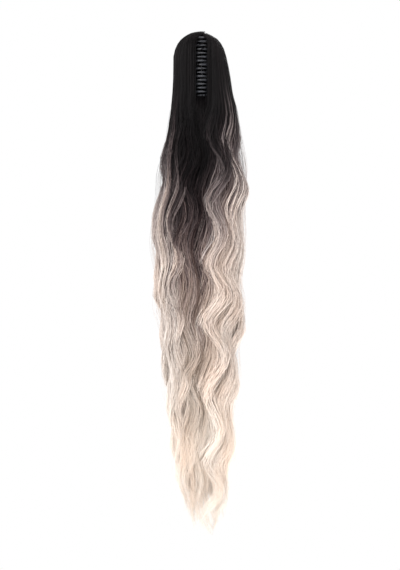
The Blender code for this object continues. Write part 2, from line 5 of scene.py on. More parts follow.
import bpy
import numpy as np
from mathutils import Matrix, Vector

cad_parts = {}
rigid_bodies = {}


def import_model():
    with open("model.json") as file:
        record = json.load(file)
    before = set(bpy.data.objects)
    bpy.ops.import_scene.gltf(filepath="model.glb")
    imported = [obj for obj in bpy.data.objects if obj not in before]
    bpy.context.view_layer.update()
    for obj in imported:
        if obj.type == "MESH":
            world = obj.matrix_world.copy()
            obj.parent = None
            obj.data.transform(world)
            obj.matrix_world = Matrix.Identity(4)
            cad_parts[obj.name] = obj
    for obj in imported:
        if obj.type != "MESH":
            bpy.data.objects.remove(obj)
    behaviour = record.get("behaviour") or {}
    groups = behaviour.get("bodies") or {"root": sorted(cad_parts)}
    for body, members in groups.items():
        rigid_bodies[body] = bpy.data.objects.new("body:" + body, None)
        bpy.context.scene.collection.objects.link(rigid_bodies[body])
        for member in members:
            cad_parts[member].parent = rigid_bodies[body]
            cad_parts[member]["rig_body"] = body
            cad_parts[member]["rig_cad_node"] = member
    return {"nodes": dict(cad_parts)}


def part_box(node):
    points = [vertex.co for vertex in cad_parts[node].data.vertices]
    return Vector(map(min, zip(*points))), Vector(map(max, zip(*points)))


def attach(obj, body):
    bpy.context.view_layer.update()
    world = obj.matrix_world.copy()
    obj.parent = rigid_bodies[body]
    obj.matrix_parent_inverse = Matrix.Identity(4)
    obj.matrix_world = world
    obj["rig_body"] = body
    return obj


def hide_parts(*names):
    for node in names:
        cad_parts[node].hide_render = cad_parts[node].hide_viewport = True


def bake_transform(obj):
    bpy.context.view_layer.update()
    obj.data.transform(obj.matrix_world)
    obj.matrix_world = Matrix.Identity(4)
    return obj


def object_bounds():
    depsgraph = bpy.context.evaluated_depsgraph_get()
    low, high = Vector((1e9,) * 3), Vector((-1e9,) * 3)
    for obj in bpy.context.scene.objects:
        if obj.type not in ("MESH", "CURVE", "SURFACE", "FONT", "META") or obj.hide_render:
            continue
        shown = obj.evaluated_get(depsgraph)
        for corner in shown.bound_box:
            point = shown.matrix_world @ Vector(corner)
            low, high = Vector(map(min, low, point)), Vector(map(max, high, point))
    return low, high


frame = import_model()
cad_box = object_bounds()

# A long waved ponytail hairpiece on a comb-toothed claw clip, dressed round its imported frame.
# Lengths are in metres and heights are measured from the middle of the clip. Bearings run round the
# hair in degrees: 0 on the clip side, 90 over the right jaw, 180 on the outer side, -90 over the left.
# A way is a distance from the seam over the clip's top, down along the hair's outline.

chance = np.random.default_rng(26)
WHOLE_TURN = 2 * math.pi


def corners(*nodes):
    """Lowest and highest corner of several frame nodes together."""
    boxes = [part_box(node) for node in nodes]
    return np.min([low for low, _ in boxes], axis=0), np.max([high for _, high in boxes], axis=0)


crown_low, crown_high = corners("crown_left", "crown_right")
fall_low, fall_high = corners("fall_left", "fall_right")
jaw_low, jaw_high = corners("jaw_left", "jaw_right")
pin_low, pin_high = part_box("hinge_pin")

# Hair outline, from the frame's own reach
CROWN_COVER = 0.0014
CROWN_LEFT = CROWN_COVER - crown_low[0]
CROWN_RIGHT = CROWN_COVER + crown_high[0]
CROWN_FRONT = CROWN_COVER - crown_low[1]
CROWN_BACK = CROWN_COVER + crown_high[1]
CROWN_TOP = crown_high[2]
CROWN_BOTTOM = crown_low[2]
CROWN_HEIGHT = CROWN_TOP - CROWN_BOTTOM
FALL_TOP = fall_high[2]
FALL_LENGTH = FALL_TOP - fall_low[2]
FALL_HALF_WIDTH = 0.060
FALL_HALF_DEPTH = 0.040

# The hair's middle line lies towards the outer side, and comes forward from this share of the fall on
CENTRE_BACK = 0.008
CENTRE_TURNS = 0.3

# Seam over the clip's top, where left and right hair part
SEAM_RISE = 0.0006
SEAM_HALF_WIDTH = 0.001
SEAM_OFFSET = 0.0035
SEAM_DIP = 0.0022
SEAM_DIP_SPREAD = 0.006
SHOULDER_DROP = 0.0026
SHOULDER_WAY = 0.034

# Comb slot in the clip side
SLOT_PUSH = 0.0092
SLOT_PUSH_RANGE = (0.72, 1.12)
SLOT_SOFTNESS = 0.015
SLOT_DEPTH = 0.014
SLOT_BOTTOM = jaw_low[2] - 0.002
SLOT_CLOSED = SLOT_BOTTOM - 0.036
SLOT_TOP = jaw_high[2] + 0.002
SLOT_TOP_FADE = 0.010

# Where each outline row stands, as shares: of the crown's height from its lower edge up, and of the
# fall's length from its upper edge down. The reaches are shares of the crown's and the fall's own.
CROWN_OUTLINE = (
    # up, left, right, front, back, seam
    (1.00, 0.40, 0.11, 0.34, 0.26, 1.0),
    (0.96, 0.58, 0.26, 0.70, 0.50, 0.7),
    (0.90, 0.74, 0.45, 0.88, 0.72, 0.4),
    (0.82, 0.85, 0.60, 0.94, 0.85, 0.2),
    (0.70, 0.92, 0.71, 0.98, 0.94, 0.0),
    (0.52, 0.93, 0.80, 1.00, 0.99, 0.0),
    (0.33, 0.94, 0.87, 1.00, 1.00, 0.0),
    (0.14, 0.97, 0.93, 1.00, 0.98, 0.0),
    (0.00, 1.00, 1.00, 0.98, 0.97, 0.0),
)
FALL_OUTLINE = (
    # down, left, right, front, back, shift
    (0.04, 0.72, 0.77, 0.66, 1.10, 0.00),
    (0.09, 0.77, 0.77, 0.76, 1.08, 0.01),
    (0.15, 0.87, 0.84, 0.86, 1.05, 0.02),
    (0.22, 0.97, 0.90, 0.92, 1.04, 0.01),
    (0.29, 1.02, 0.86, 0.94, 1.00, -0.01),
    (0.36, 1.00, 0.84, 0.90, 0.96, -0.01),
    (0.44, 0.95, 0.85, 0.86, 0.90, 0.00),
    (0.52, 0.88, 0.80, 0.80, 0.84, 0.01),
    (0.60, 0.78, 0.72, 0.74, 0.78, 0.01),
    (0.68, 0.71, 0.69, 0.66, 0.70, 0.00),
    (0.76, 0.62, 0.65, 0.58, 0.64, 0.00),
    (0.83, 0.56, 0.62, 0.50, 0.56, 0.01),
    (0.88, 0.49, 0.57, 0.42, 0.48, 0.02),
    (0.93, 0.38, 0.46, 0.32, 0.38, 0.03),
    (1.00, 0.20, 0.26, 0.18, 0.22, 0.03),
)


def eased(at, places, values):
    """Smooth curve through a table's rows, read at any place between its first and last."""
    slopes = np.gradient(values, places)
    row = np.clip(np.searchsorted(places, at) - 1, 0, len(places) - 2)
    span = places[row + 1] - places[row]
    t = np.clip((at - places[row]) / span, 0, 1)
    return (
        (1 + 2 * t) * (1 - t) ** 2 * values[row]
        + t * (1 - t) ** 2 * span * slopes[row]
        + t * t * (3 - 2 * t) * values[row + 1]
        + t * t * (t - 1) * span * slopes[row + 1]
    )


def smooth(share):
    """0 before 0, 1 after 1 and an even swing between."""
    share = np.clip(share, 0, 1)
    return share * share * (3 - 2 * share)


def bell(distance, spread):
    """1 at no distance, falling off to both sides over about the spread."""
    return np.exp(-(distance / spread) ** 2)


def outline_rows():
    """The hair's outline from the seam down: height, reach left, right, front and back, and shift."""
    top_front, top_back = CROWN_OUTLINE[0][3:5]
    rows = [(
        CROWN_TOP + SEAM_RISE,
        SEAM_HALF_WIDTH,
        SEAM_HALF_WIDTH,
        CROWN_FRONT * top_front,
        CROWN_BACK * top_back,
        SEAM_OFFSET,
    )]
    for up, left, right, front, back, seam in CROWN_OUTLINE:
        rows.append((
            CROWN_BOTTOM + CROWN_HEIGHT * up,
            CROWN_LEFT * left,
            CROWN_RIGHT * right,
            CROWN_FRONT * front,
            CROWN_BACK * back,
            SEAM_OFFSET * seam,
        ))
    for down, left, right, front, back, shift in FALL_OUTLINE:
        rows.append((
            FALL_TOP - FALL_LENGTH * down,
            FALL_HALF_WIDTH * left,
            FALL_HALF_WIDTH * right,
            FALL_HALF_DEPTH * front,
            FALL_HALF_DEPTH * back,
            FALL_HALF_WIDTH * shift,
        ))
    return np.array(rows)


OUTLINE = outline_rows()
ROW_STEPS = np.hypot(np.diff(OUTLINE[:, 0]), np.diff(OUTLINE[:, 1] + OUTLINE[:, 2]) / 2)
OUTLINE_WAY = np.concatenate([[0], np.cumsum(ROW_STEPS)])
WHOLE_WAY = OUTLINE_WAY[-1]
CROWN_WAY = OUTLINE_WAY[len(CROWN_OUTLINE)]


def outline_at(way):
    """The outline's height, left, right, front and back reach and shift, at ways down from the seam."""
    return [eased(way, OUTLINE_WAY, column) for column in OUTLINE.T]


def way_at(height):
    """How far down the outline a height lies."""
    return float(np.interp(-height, -OUTLINE[:, 0], OUTLINE_WAY))


class Lock(NamedTuple):
    """One lock of hair: its family's values with its own small differences.

    share is how far out it lies in the outline, crest a height where it swings farthest towards higher
    bearings, wave the length of a wave, and wander an angle that sets it apart from its neighbours.
    """
    bearing: float
    share: float
    width: float
    thickness: float
    lift: float
    crest: float
    wave: float
    reach: float
    turn: float
    fade: float
    tone: float
    end: float
    wander: float


class Family(NamedTuple):
    """Neighbouring locks between two bearings, which wave together and lighten at about one height.

    crest is the height of a wave's crest, reach how far the wave swings, turn the height where the dark
    roots start to lighten, fade over what length, tone how light the family is, lift how far it stands
    out, and end the share of the fall that it hangs down.
    """
    first: float
    last: float
    locks: int
    crest: float
    reach: float
    turn: float
    fade: float
    tone: float
    lift: float
    end: float


CLIP_SIDE = (
    Family(-102, -78, 3, -0.182, 0.0070, -0.014, 0.29, 0.00, 0.0000, 0.97),
    Family(-66, -40, 4, -0.165, 0.0062, -0.074, 0.27, -0.04, 0.0012, 0.93),
    Family(-29, -13, 3, -0.200, 0.0054, -0.088, 0.31, -0.20, -0.0010, 0.95),
    Family(-4, 8, 2, -0.205, 0.0054, -0.088, 0.33, -0.18, -0.0035, 0.90),
    Family(16, 31, 3, -0.213, 0.0078, -0.052, 0.25, 0.05, 0.0030, 1.00),
    Family(39, 64, 4, -0.222, 0.0070, -0.018, 0.27, -0.01, 0.0005, 0.97),
    Family(75, 99, 3, -0.232, 0.0070, -0.036, 0.20, 0.02, 0.0010, 0.98),
)
UNDER_CLIP = Family(-9, 5, 2, -0.190, 0.0045, -0.135, 0.30, -0.18, -0.0030, 0.96)
OUTER_SIDE = (
    Family(109, 131, 3, -0.200, 0.0088, -0.034, 0.27, -0.03, 0.0005, 0.98),
    Family(139, 157, 3, -0.182, 0.0082, -0.036, 0.34, -0.09, -0.0014, 1.00),
    Family(165, 186, 3, -0.192, 0.0100, -0.050, 0.33, 0.00, 0.0026, 1.00),
    Family(194, 222, 4, -0.214, 0.0088, -0.042, 0.31, -0.04, 0.0005, 0.98),
    Family(230, 250, 3, -0.200, 0.0082, -0.028, 0.26, -0.06, 0.0000, 0.96),
)
FLYAWAYS_LEFT = Family(-172, -34, 10, -0.200, 0.0075, -0.060, 0.18, 0.02, 0.0015, 1.0)
FLYAWAYS_RIGHT = FLYAWAYS_LEFT._replace(first=34, last=172)
INNER_LEFT = Family(-176, -4, 12, -0.200, 0.0065, -0.130, 0.26, -0.02, -0.0010, 0.99)
INNER_RIGHT = INNER_LEFT._replace(first=4, last=176)

# Length of a wave on each side
CLIP_SIDE_WAVE = 0.084
OUTER_SIDE_WAVE = 0.094

# How one lock differs from the rest of its family
BEARING_STRAY = 1.0
WIDTH_RANGE = (0.88, 1.15)
LIFT_STRAY = 0.0018
CREST_LAG = 0.05
CREST_STRAY = 0.03
REACH_RANGE = (0.85, 1.15)
TURN_STRAY = 0.010
TONE_STRAY = 0.04
END_RANGE = (0.93, 1.0)
WANDER_STRAY = 0.25


def colour_turn(bearing):
    """Height where the dark roots start to lighten, and over what length, at bearings in degrees."""
    families = sorted(CLIP_SIDE + OUTER_SIDE, key=lambda family: family.first)
    middles = [(family.first + family.last) / 2 for family in families]
    turned = (np.asarray(bearing) - middles[0]) % 360 + middles[0]
    return (
        np.interp(turned, middles, [family.turn for family in families], period=360),
        np.interp(turned, middles, [family.fade for family in families], period=360),
    )


def locks_of(families, width, thickness, share, wave, own_turn=False):
    """Spaces each family's locks over its bearings, with a small difference from one to the next.

    share is how far out the locks lie, as a share of the outline. They lighten as the hair at their
    bearing does, or with own_turn as their family says.
    """
    found = []
    for family in families:
        wander = chance.uniform(0, WHOLE_TURN)
        for i in range(family.locks):
            part = i / max(family.locks - 1, 1)
            bearing = family.first + (family.last - family.first) * part + chance.normal(0, BEARING_STRAY)
            turn, fade = (family.turn, family.fade) if own_turn else colour_turn(bearing)
            found.append(Lock(
                bearing=bearing,
                share=share,
                width=width * chance.uniform(*WIDTH_RANGE),
                thickness=thickness,
                lift=family.lift + chance.normal(0, LIFT_STRAY),
                crest=family.crest + wave * (CREST_LAG * part + chance.normal(0, CREST_STRAY)),
                wave=wave,
                reach=family.reach * chance.uniform(*REACH_RANGE),
                turn=turn + chance.normal(0, TURN_STRAY),
                fade=fade,
                tone=family.tone + chance.normal(0, TONE_STRAY),
                end=family.end * chance.uniform(*END_RANGE),
                wander=wander + chance.normal(0, WANDER_STRAY),
            ))
    return found


# Strands: stations, size and spread in length
CROWN_STEPS = np.array([0.0, 0.05, 0.10, 0.15, 0.21, 0.27, 0.34, 0.42, 0.53, 0.67, 0.83])
STRAND_WIDTH = 0.00085
STRAND_THICKNESS = 0.00050
STRAND_WIDTH_RANGE = (0.75, 1.25)
STRAND_TWIST = 0.7
SHORTEST = 0.24
SHORTNESS_POWER = 1.6
SEWN_START = 0.005
LOW_START = 0.010

# A strand's width along its length, as shares
BODY_TAPER = 0.45
BODY_TAPER_FROM = 0.15
TIP_TAPER = 0.55
TIP_TAPER_FROM = 0.72
ROOT_WIDTH = 0.55
ROOT_WIDENS_OVER = 0.012
LOCK_EDGE_THINNING = 0.35

# Clumps within a lock, and the few bright groups of strands on its face
CLUMPS = 6
CLUMP_PULL = 0.58
ACROSS_STRAY = 0.07
BRIGHT_GROUP = 4
BRIGHT_SHARE = 0.07
BRIGHT_RISE = 1.1

# The wave that each lock follows: where it sets in, and its reach
WAVE_BEGINS = -0.030
WAVE_FULL = -0.125
THINNEST = 0.3
THIN_REACH = 0.45
STRAND_CREST_STRAY = 0.025
STRAND_REACH_STRAY = 0.10
SWELL = 0.24
SWELL_LENGTH = 0.23
SWELL_WANDER = 2.3
UPPER_REACH = 1.06
LOWER_REACH_GAIN = 0.34
LOWER_REACH_FROM = -0.27
LOWER_REACH_OVER = 0.15

# How the wave loses step, lock by lock and clump by clump
WANDER_TURNS = 0.50
WANDER_LENGTH = 0.29
WANDER_SHIFT = 0.17
CLUMP_TURNS = 0.23
CLUMP_TURNS_LENGTH = 0.31

# How a lock narrows and widens as it hangs, and gathers at its tip
GATHER_MEAN = 0.90
GATHER_SWING = 0.20
GATHER_WAVES = 1.45
TIP_GATHER = 0.38
TIP_GATHER_FROM = 0.74

# Slow wandering of a strand: how far, over what length
DRIFTS = ((0.0015, 0.190), (0.0007, 0.067), (0.0003, 0.031))

# How far in or out a strand lies
LEAST_RADIUS = 0.004
LEAST_ROUNDING = 0.05
LOCK_ROUNDING = 0.002
CROWN_THICKNESS = 0.35
OUTWARD_SHARE = 0.42
OUTWARD_LEAD = 1.1
CLUMP_LIFT = 0.0008
BOW_RANGE = (0.2, 1.0)
SAG_OF_LIFT = 0.15
TOP_FACING = 1.2
TOP_FACING_SHARE = 0.45

# Lightening: ash from the colour turn down, then cream towards the tips
STRAND_ASH = 0.78
STRAND_CREAM_FROM = -0.32
CORE_ASH = 0.74
CORE_CREAM_FROM = -0.30
CREAM_GAIN = 0.22
CREAM_OVER = 0.20
STRAND_TURN_STRAY = 0.010
CLUMP_TURN_STRAY = 0.016
BRIGHT_TURN = 0.020
BRIGHT_FADE = 0.74

# Tone: what makes one strand lighter or darker than the next, with painted shade on strands sunk deep in
# their lock, evened out low down
CLUMP_TONE_STRAY = 0.07
STRAND_TONE_STRAY = 0.03
SUNK_PAINTED_SHADE = 0.21
BRIGHT_TONE = 0.06
PLAIN_TONE = 0.03
EVENING = 0.55
EVENING_FROM = -0.40
EVENING_OVER = 0.14
LEAST_TONE = 0.01
LOW_TONE_GAIN = 0.03
LOW_TONE_FROM = -0.34
LOW_TONE_OVER = 0.10


def lightness_at(height, turn, fade, ash, cream_from):
    """How far hair at a height is on its way from the dark roots, 0, to the cream tips, 1."""
    return ash * smooth((turn - height) / fade) + CREAM_GAIN * smooth((cream_from - height) / CREAM_OVER)


class Strands:
    """Many strands laid in locks: points at the same number of stations, with widths and colours.

    A strand starts at the seam over the clip, or at the height begin. bow is how far it stands off.
    """

    def __init__(self, locks, each, steps, begin=None, bow=None):
        self.count = len(locks) * each
        self.lock = {
            field: np.repeat([getattr(lock, field) for lock in locks], each)[:, None]
            for field in Lock._fields
        }
        self.share_out(len(locks), each)
        start, way = self.stations(steps, begin)
        height = self.lay(way, begin is None, bow)
        self.colour(height)
        self.taper(start, way)

    def stray(self):
        """A random number for each strand, about 0."""
        return chance.normal(size=(self.count, 1))

    def share_out(self, locks, each):
        """Gives each strand its place across its lock, its clump, its depth and whether it is bright."""
        number = np.arange(self.count)
        spot = (number % each + chance.random(self.count)) / each
        clump = np.floor(spot * CLUMPS)
        self.clump_centre = (2 * (clump + 0.5) / CLUMPS - 1)[:, None]
        clump = (number // each * CLUMPS + clump).astype(int)
        odds = chance.normal(size=(4, locks * CLUMPS))[:, clump, None]
        self.clump_wave, self.clump_lift, self.clump_turn, self.clump_tone = odds
        self.place = (2 * spot - 1)[:, None]
        self.across = self.place + ACROSS_STRAY * self.stray()
        group = number // BRIGHT_GROUP
        self.bright = (chance.random(group[-1] + 1) < BRIGHT_SHARE)[group, None]
        self.rise = np.where(self.bright, BRIGHT_RISE, chance.random((self.count, 1)))

    def stations(self, steps, begin):
        """How far down the outline each strand starts, and has its points."""
        length = 1 - SHORTEST * chance.random((self.count, 1)) ** SHORTNESS_POWER
        finish = CROWN_WAY + (WHOLE_WAY - CROWN_WAY) * self.lock["end"] * length
        down = np.linspace(0, 1, steps)
        if begin is None:
            start = SEWN_START * chance.random((self.count, 1))
            crown = start + (CROWN_WAY - start) * CROWN_STEPS
            return start, np.concatenate([crown, CROWN_WAY + (finish - CROWN_WAY) * down], axis=1)
        start = way_at(begin) + LOW_START * chance.random((self.count, 1))
        return start, start + (finish - start) * down

    def lay(self, way, over_clip, bow):
        """Sets each strand's points and the way it faces, and gives back the heights of its stations."""
        lock = self.lock
        height, self.left, self.right, self.front, self.back, shift = outline_at(way)
        fall = np.clip((FALL_TOP - height) / FALL_LENGTH, 0, 1)
        self.centre = CENTRE_BACK * (1 - smooth((fall - CENTRE_TURNS) / (1 - CENTRE_TURNS)))
        swing = smooth((WAVE_BEGINS - height) / (WAVE_BEGINS - WAVE_FULL))
        size = np.clip((self.left + self.right) / (2 * FALL_HALF_WIDTH), THINNEST, 1.0)
        reach, turns = self.wave(height, size)
        gather = 1 + (self.gathering(height, way) - 1) * swing
        drift = self.drift(height) * swing
        across = self.across + (self.clump_centre - self.across) * CLUMP_PULL * swing
        sideways = across * lock["width"] / 2 * gather * size + reach * swing * np.cos(turns) + drift

        bearing = np.radians(lock["bearing"])
        on_right = np.sin(bearing) > 0
        wide, deep = self.reaches(bearing)
        radius = np.hypot(wide * np.cos(bearing), deep * np.sin(bearing))
        bearing = bearing + sideways / np.maximum(radius, LEAST_RADIUS)
        wide, deep = self.reaches(bearing)
        out = np.stack([np.sin(bearing) * deep, -np.cos(bearing) * wide], -1)
        out /= np.linalg.norm(out, axis=-1, keepdims=True)

        rounding = np.sqrt(np.clip(1 - across ** 2, LEAST_ROUNDING, 1))
        depth = CROWN_THICKNESS + (1 - CROWN_THICKNESS) * swing
        sunk = lock["thickness"] * (1 - self.rise) * depth * size
        sunk = sunk + LOCK_ROUNDING * (1 - rounding) * swing
        lift = lock["lift"] + OUTWARD_SHARE * reach * np.cos(turns + OUTWARD_LEAD)
        lift = (lift + CLUMP_LIFT * self.clump_lift) * swing - sunk
        if bow is not None:
            lift = lift + bow(height) * chance.uniform(*BOW_RANGE, (self.count, 1))

        x = shift + lock["share"] * wide * np.sin(bearing) + out[..., 0] * lift
        y = self.centre - lock["share"] * deep * np.cos(bearing) + out[..., 1] * lift
        if over_clip:
            x = self.pushed_aside(x, y, height)
            height = height - SHOULDER_DROP * on_right * (1 - smooth(way / SHOULDER_WAY))
            height = height - SEAM_DIP * bell(way, SEAM_DIP_SPREAD)
        self.points = np.stack([x, y, height - SAG_OF_LIFT * lift * swing], -1)
        self.outward = np.concatenate([out, np.zeros_like(out[..., :1])], -1)
        self.outward[..., 2] = TOP_FACING * np.clip(1 - way / (TOP_FACING_SHARE * CROWN_WAY), 0, 1)
        return height

    def reaches(self, bearing):
        """How far the outline reaches at bearings: sideways, and to the front or the back."""
        wide = np.where(np.sin(bearing) > 0, self.right, self.left)
        deep = np.where(np.cos(bearing) > 0, self.front + self.centre, self.back - self.centre)
        return wide, deep

    def wave(self, height, size):
        """How far each strand's wave swings, and how far it has turned, as an angle."""
        lock = self.lock
        crest = lock["crest"] + lock["wave"] * STRAND_CREST_STRAY * self.stray()
        reach = lock["reach"] * (1 + STRAND_REACH_STRAY * self.stray())
        reach = reach * (THIN_REACH + (1 - THIN_REACH) * size)
        swell = np.sin(WHOLE_TURN * height / SWELL_LENGTH + SWELL_WANDER * lock["wander"])
        reach = reach * (1 + SWELL * swell)
        lower = smooth((LOWER_REACH_FROM - height) / LOWER_REACH_OVER)
        reach = reach * (UPPER_REACH + LOWER_REACH_GAIN * lower)
        turns = WHOLE_TURN * (height - crest) / lock["wave"]
        wander = np.sin(WHOLE_TURN * (height + WANDER_SHIFT) / WANDER_LENGTH + lock["wander"])
        turns = turns + WANDER_TURNS * wander
        loose = np.cos(WHOLE_TURN * height / CLUMP_TURNS_LENGTH + lock["wander"])
        return reach, turns + CLUMP_TURNS * self.clump_wave * loose

    def gathering(self, height, way):
        """How wide each lock is against its own width, which changes from wave to wave."""
        lock = self.lock
        phase = WHOLE_TURN * (height - lock["crest"]) / (GATHER_WAVES * lock["wave"]) + lock["bearing"]
        tip = smooth((way / WHOLE_WAY - TIP_GATHER_FROM) / (1 - TIP_GATHER_FROM))
        return (GATHER_MEAN + GATHER_SWING * np.cos(phase)) * (1 - TIP_GATHER * tip)

    def drift(self, height):
        """Slow wandering of each strand off its lock's line."""
        phases = chance.random((len(DRIFTS), self.count, 1)) * WHOLE_TURN
        return sum(
            reach * np.sin(WHOLE_TURN * height / length + phase)
            for (reach, length), phase in zip(DRIFTS, phases)
        )

    def pushed_aside(self, x, y, height):
        """Moves strands on the clip side to both sides of the comb slot."""
        slot = smooth((height - SLOT_CLOSED) / (SLOT_BOTTOM - SLOT_CLOSED))
        slot = slot * smooth((self.centre - y) / SLOT_DEPTH) * smooth((SLOT_TOP - height) / SLOT_TOP_FADE)
        push = SLOT_PUSH * slot * bell(x, SLOT_SOFTNESS) * chance.uniform(*SLOT_PUSH_RANGE, (self.count, 1))
        return x + np.where(x > 0, 1, -1) * push

    def colour(self, height):
        """Sets how light each strand is down its length, and its tone, which holds painted shade on strands
        that lie deep in their lock.
        """
        lock = self.lock
        turn = lock["turn"] + STRAND_TURN_STRAY * self.stray() + CLUMP_TURN_STRAY * self.clump_turn
        turn = turn + np.where(self.bright, BRIGHT_TURN, 0)
        fade = lock["fade"] * np.where(self.bright, BRIGHT_FADE, 1)
        self.lightness = lightness_at(height, turn, fade, STRAND_ASH, STRAND_CREAM_FROM)
        tone = lock["tone"] + CLUMP_TONE_STRAY * self.clump_tone + STRAND_TONE_STRAY * self.stray()
        # Painted shade: strands that lie deeper in their lock are darkened, the deeper the darker.
        tone = tone - SUNK_PAINTED_SHADE * (1 - self.rise)
        tone = tone + np.where(self.bright, BRIGHT_TONE, PLAIN_TONE)
        tone = tone * (1 - EVENING * smooth((EVENING_FROM - height) / EVENING_OVER))
        self.tone = tone + LEAST_TONE + LOW_TONE_GAIN * smooth((LOW_TONE_FROM - height) / LOW_TONE_OVER)

    def taper(self, start, way):
        """Sets each strand's width, which is less at its root, its tip and its lock's edges."""
        down = (way - start) / (way[:, -1:] - start)
        body = 1 - BODY_TAPER * smooth(down - BODY_TAPER_FROM)
        tip = 1 - TIP_TAPER * smooth((down - TIP_TAPER_FROM) / (1 - TIP_TAPER_FROM))
        root = ROOT_WIDTH + (1 - ROOT_WIDTH) * smooth((way - start) / ROOT_WIDENS_OVER)
        own = STRAND_WIDTH * chance.uniform(*STRAND_WIDTH_RANGE, (self.count, 1))
        self.width = own * (body * tip) * root * (1 - LOCK_EDGE_THINNING * np.abs(self.place) ** 3)


# A strand is a tube of three sides, and has a column of the UV map to itself
RING = np.radians([90, 210, 330])
SIDES = len(RING)
COLUMN_MARGIN = 0.15
COLUMN_WIDTH = 0.7
CAP_SPOTS = np.array([0.25, 0.5, 0.75])


def tube_points(strands):
    """The corners round each station of each strand, turned a little at random about the strand."""
    points = strands.points
    along = np.gradient(points, axis=1)
    along /= np.linalg.norm(along, axis=-1, keepdims=True)
    side = np.cross(along, strands.outward)
    side /= np.linalg.norm(side, axis=-1, keepdims=True)
    upward = np.cross(side, along)
    twist = chance.uniform(-STRAND_TWIST, STRAND_TWIST, (strands.count, 1, 1))
    turned_side = np.cos(twist) * side + np.sin(twist) * upward
    turned_upward = np.cos(twist) * upward - np.sin(twist) * side
    half = strands.width[:, :, None, None] / 2
    flatness = STRAND_THICKNESS / STRAND_WIDTH
    return (
        points[:, :, None]
        + turned_side[:, :, None] * (np.cos(RING)[:, None] * half)
        + turned_upward[:, :, None] * (np.sin(RING)[:, None] * half * flatness)
    )


def tube_faces(count, stations):
    """Point numbers of every strand's walls and two end caps, and where each face begins in them."""
    first = np.arange(count)[:, None, None] * stations * SIDES
    step = np.arange(stations - 1)[None, :, None] * SIDES
    corner = np.arange(SIDES)[None, None, :]
    near = first + step + corner
    far = first + step + (corner + 1) % SIDES
    walls = np.stack([near, far, far + SIDES, near + SIDES], -1).reshape(-1, 4)
    start_caps = first[:, 0] + np.arange(SIDES)[::-1]
    end_caps = first[:, 0] + (stations - 1) * SIDES + np.arange(SIDES)
    caps = np.concatenate([start_caps, end_caps])
    numbers = np.concatenate([walls.ravel(), caps.ravel()])
    cap_begins = walls.size + np.arange(len(caps)) * SIDES
    return numbers, np.concatenate([np.arange(len(walls)) * 4, cap_begins])


def tube_uv(count, stations):
    """The UV map of the same faces: across a strand in its own column, and up it from root to tip."""
    column = np.arange(count)[:, None, None] + COLUMN_MARGIN
    near = column + COLUMN_WIDTH * np.arange(SIDES)[None, None, :] / SIDES
    low = np.arange(stations - 1)[None, :, None] / (stations - 1)
    near, low = np.broadcast_arrays(near, low)
    far = near + COLUMN_WIDTH / SIDES
    high = low + 1 / (stations - 1)
    wall_corners = ((near, low), (far, low), (far, high), (near, high))
    walls = np.stack([np.stack(corner, -1) for corner in wall_corners], -2).reshape(-1, 2)
    across = np.arange(count)[:, None] + CAP_SPOTS
    caps = [np.stack([across, np.full_like(across, end)], -1).reshape(-1, 2) for end in (0, 1)]
    return np.concatenate([walls, *caps]) / np.array([count, 1])


def strand_mesh(name, strands):
    """Joins the strands into one mesh of closed tubes."""
    count, stations = strands.points.shape[:2]
    points = tube_points(strands)
    numbers, begins = tube_faces(count, stations)
    mesh = bpy.data.meshes.new(name)
    mesh.vertices.add(count * stations * SIDES)
    mesh.vertices.foreach_set("co", points.astype(np.float32).ravel())
    mesh.loops.add(len(numbers))
    mesh.loops.foreach_set("vertex_index", numbers.astype(np.int32))
    mesh.polygons.add(len(begins))
    mesh.polygons.foreach_set("loop_start", begins.astype(np.int32))
    mesh.update(calc_edges=True)
    uv = tube_uv(count, stations)
    mesh.uv_layers.new(name="OFBake").data.foreach_set("uv", uv.astype(np.float32).ravel())
    mesh.shade_smooth()
    piece = bpy.data.objects.new(name, mesh)
    bpy.context.scene.collection.objects.link(piece)
    tint(piece, np.repeat(strands.lightness.ravel(), SIDES), np.repeat(strands.tone.ravel(), SIDES))
    return piece


def tint(piece, lightness, tone):
    """Stores how far each point is from the dark roots to the light tips, and its tone, painted shade
    included.
    """
    for name, values in (("lightness", lightness), ("tone", tone)):
        layer = piece.data.attributes.new(name, "FLOAT", "POINT")
        layer.data.foreach_set("value", values.astype(np.float32))


class Value:
    """A shader socket that can stand in a Python expression, which then adds its Math nodes."""

    def __init__(self, finish, socket):
        self.finish = finish
        self.socket = socket

    def maths(self, operation, first, second):
        return self.finish.node("ShaderNodeMath", {"operation": operation}, {0: first, 1: second})

    def __add__(self, other):
        return self.maths("ADD", self, other)

    __radd__ = __add__

    def __sub__(self, other):
        return self.maths("SUBTRACT", self, other)

    def __rsub__(self, other):
        return self.maths("SUBTRACT", other, self)

    def __mul__(self, other):
        return self.maths("MULTIPLY", self, other)

    __rmul__ = __mul__


